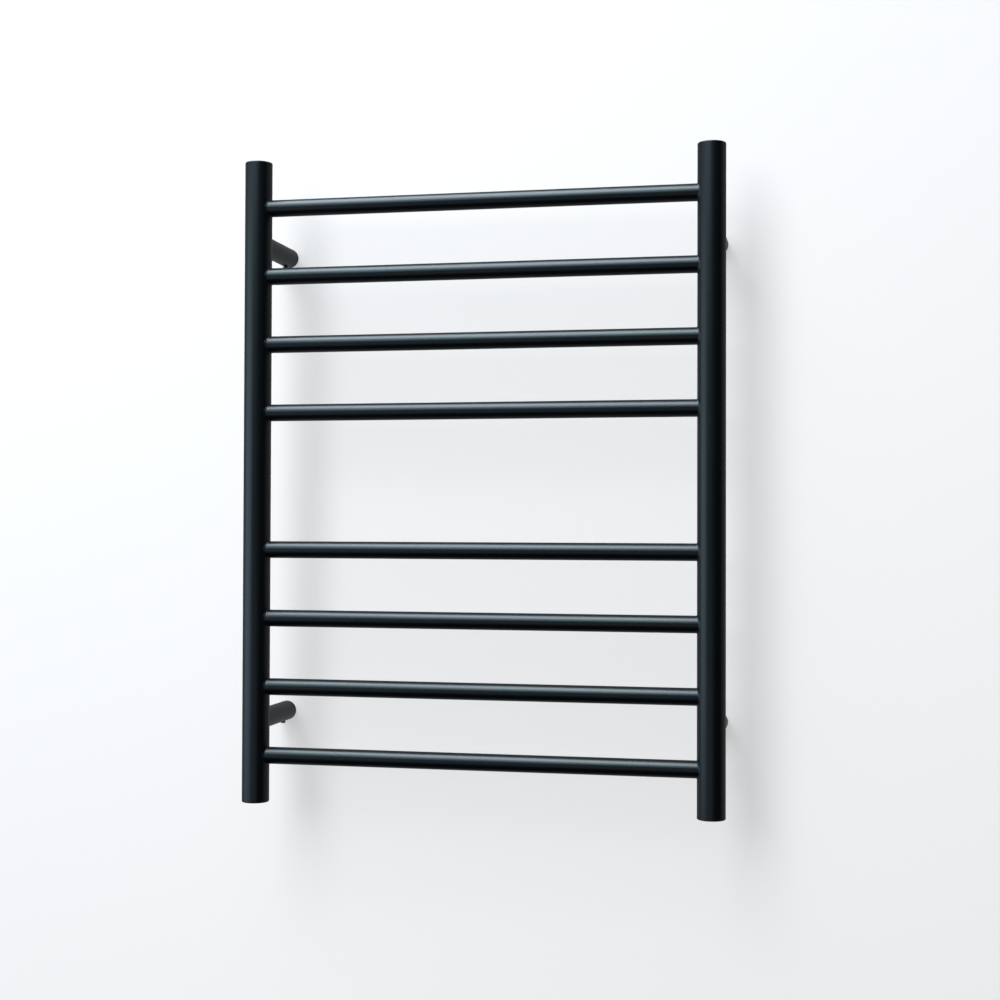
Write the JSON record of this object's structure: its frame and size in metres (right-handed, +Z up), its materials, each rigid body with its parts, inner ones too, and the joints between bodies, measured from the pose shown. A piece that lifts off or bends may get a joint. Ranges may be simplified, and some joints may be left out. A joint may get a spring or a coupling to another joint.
{
  "type": "towel warmer rack",
  "caption": "Wall-hung electric towel warmer: a ladder of round black tubes, bars in two groups with a wider gap between, on four wall posts with grub screws.",
  "frame": {"origin": "on the wall plane, in the middle of the four wall fixing holes", "axes": "+X to the right as seen by someone facing the rack, +Y into the wall, +Z up; the rack is at negative Y"},
  "size_m": [0.6, 0.135, 0.8],
  "materials": {
    "black_coat": "fine-textured satin black powder coat on steel tube",
    "black_oxide_steel": "black oxide",
    "cable_jacket": "red-brown silicone jacket",
    "lead_jacket": "grey silicone jacket",
    "fuse_case": "white heat-shrink sleeve",
    "nylon": "natural glass-filled nylon",
    "brass": "machined",
    "zinc_steel": "zinc plated",
    "bare_steel": "as machined",
    "tinned_copper": "tin plated",
    "grommet_rubber": "moulded"
  },
  "bodies": {
    "wall_fixings": {"wall_boss_upper_left": "black_coat", "wall_boss_upper_right": "black_coat", "wall_boss_lower_left": "black_coat", "wall_boss_lower_right": "black_coat"},
    "rack": {"left_upright": "black_coat", "right_upright": "black_coat", "bar_1": "black_coat", "bar_2": "black_coat", "bar_3": "black_coat", "bar_4": "black_coat", "bar_5": "black_coat", "bar_6": "black_coat", "bar_7": "black_coat", "bar_8": "black_coat", "end_cap_upper_left": "black_coat", "wall_post_upper_left": "black_coat", "end_cap_upper_right": "black_coat", "wall_post_upper_right": "black_coat", "end_cap_lower_left": "black_coat", "wall_post_lower_left": "black_coat", "end_cap_lower_right": "black_coat", "wall_post_lower_right": "black_coat", "heating_cable": "cable_jacket", "cold_lead": "lead_jacket", "thermal_fuse": "fuse_case", "terminal_block": "nylon", "terminal_clamps": "brass", "terminal_screws": "zinc_steel", "earth_stud": "bare_steel", "earth_ring_terminal": "tinned_copper", "earth_nut": "zinc_steel", "lead_grommet": "grommet_rubber"},
    "grub_upper_left": {"grub_screw_upper_left": "black_oxide_steel"},
    "grub_upper_right": {"grub_screw_upper_right": "black_oxide_steel"},
    "grub_lower_left": {"grub_screw_lower_left": "black_oxide_steel"},
    "grub_lower_right": {"grub_screw_lower_right": "black_oxide_steel"}
  },
  "joints": [
    {"name": "rack_slide", "type": "slide", "parent": "wall_fixings", "child": "rack", "axis": [0, -1, 0], "range_m": [0, 0.022]},
    {"name": "grub_upper_left_travel", "type": "slide", "parent": "rack", "child": "grub_upper_left", "axis": [0, 0, -1], "range_m": [0, 0.002]},
    {"name": "grub_upper_right_travel", "type": "slide", "parent": "rack", "child": "grub_upper_right", "axis": [0, 0, -1], "range_m": [0, 0.002]},
    {"name": "grub_lower_left_travel", "type": "slide", "parent": "rack", "child": "grub_lower_left", "axis": [0, 0, -1], "range_m": [0, 0.002]},
    {"name": "grub_lower_right_travel", "type": "slide", "parent": "rack", "child": "grub_lower_right", "axis": [0, 0, -1], "range_m": [0, 0.002]}
  ]
}
